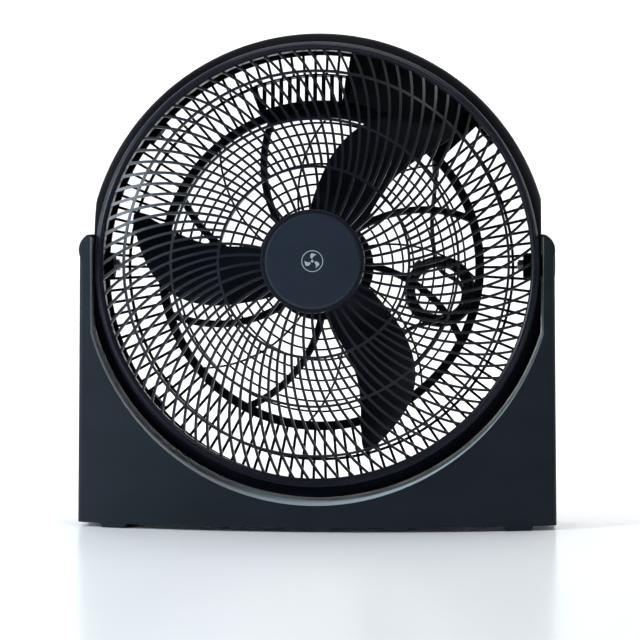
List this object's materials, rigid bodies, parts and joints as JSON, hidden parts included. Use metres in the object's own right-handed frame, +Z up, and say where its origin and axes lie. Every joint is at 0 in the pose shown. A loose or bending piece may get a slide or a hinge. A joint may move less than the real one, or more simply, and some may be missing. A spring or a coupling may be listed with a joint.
{
  "type": "box fan",
  "caption": "Pivoting floor fan: a round drum head with a domed swirl grille tilts between the arms of a U-shaped stand.",
  "frame": {"origin": "on the floor under the middle of the bounding box", "axes": "+Z up, -Y towards the front grille, +X to the right seen from the rear"},
  "size_m": [0.554, 0.191, 0.5724],
  "materials": {
    "stand_shell": "satin",
    "inner_wall": "satin",
    "rubber": "matte",
    "black_steel": "satin",
    "zinc_steel": "satin",
    "bush_plastic": "matte",
    "cap_plastic": "satin",
    "drum_plastic": "satin",
    "grille_plastic": "satin",
    "badge_plastic": "gloss",
    "rear_grille_plastic": "satin",
    "grip_plastic": "satin",
    "control_plastic": "satin",
    "switch_plastic": "matte",
    "capacitor_case": "satin",
    "knob_plastic": "satin",
    "motor_steel": "satin",
    "lamination_steel": "matte",
    "copper": "satin",
    "bronze": "satin",
    "shaft_steel": "satin",
    "rotor_aluminium": "satin",
    "blade_plastic": "satin",
    "cord_pvc": "satin",
    "tie_plastic": "matte",
    "plug_pvc": "satin",
    "brass": "polished"
  },
  "bodies": {
    "stand": {"stand_front_shell": "stand_shell", "stand_rear_shell": "stand_shell", "stand_inner_wall": "inner_wall", "rubber_feet": "rubber", "stand_screws": "black_steel", "pivot_plate_left": "zinc_steel", "pivot_plate_right": "zinc_steel", "pivot_bush_left": "bush_plastic", "pivot_bush_right": "bush_plastic", "friction_washer_left": "rubber", "friction_washer_right": "rubber", "pivot_cap_left": "cap_plastic", "pivot_cap_right": "cap_plastic"},
    "head": {"pivot_bolt_left": "zinc_steel", "pivot_bolt_right": "zinc_steel", "pivot_washer_left": "zinc_steel", "pivot_washer_right": "zinc_steel", "pivot_nut_left": "zinc_steel", "pivot_nut_right": "zinc_steel", "drum_housing": "drum_plastic", "front_grille": "grille_plastic", "centre_badge": "badge_plastic", "rear_grille": "rear_grille_plastic", "finger_guard": "rear_grille_plastic", "handle_grip": "grip_plastic", "drum_screws": "black_steel", "motor_screws": "black_steel", "cover_screws": "black_steel", "control_box": "control_plastic", "control_cover": "control_plastic", "rotary_switch": "switch_plastic", "run_capacitor": "capacitor_case", "motor_rear_shell": "motor_steel", "motor_front_shell": "motor_steel", "stator_core": "lamination_steel", "stator_windings": "copper", "bearing_front": "bronze", "bearing_rear": "bronze", "cord_gland": "cord_pvc", "cord_lead": "cord_pvc", "cord_tail": "cord_pvc", "cord_coil": "cord_pvc", "cord_tie": "tie_plastic", "plug_body": "plug_pvc", "plug_pins": "brass"},
    "rotor": {"motor_shaft": "shaft_steel", "rotor_core": "rotor_aluminium", "blade_set": "blade_plastic", "blade_nut": "knob_plastic"},
    "knob": {"speed_knob": "knob_plastic"}
  },
  "joints": [
    {"name": "head_tilt", "type": "hinge", "parent": "stand", "child": "head", "pos_m": [0, 0.01149, 0.3025], "axis": [-1, 0, 0], "range_deg": [-20, 90]},
    {"name": "blade_spin", "type": "hinge", "parent": "head", "child": "rotor", "pos_m": [0, 0.01149, 0.3025], "axis": [0, -0.9978, 0.0663], "continuous": true},
    {"name": "speed_turn", "type": "hinge", "parent": "head", "child": "knob", "pos_m": [0.096, 0.0844, 0.49493], "axis": [0, 0.9978, -0.0663], "range_deg": [0, 135]}
  ]
}
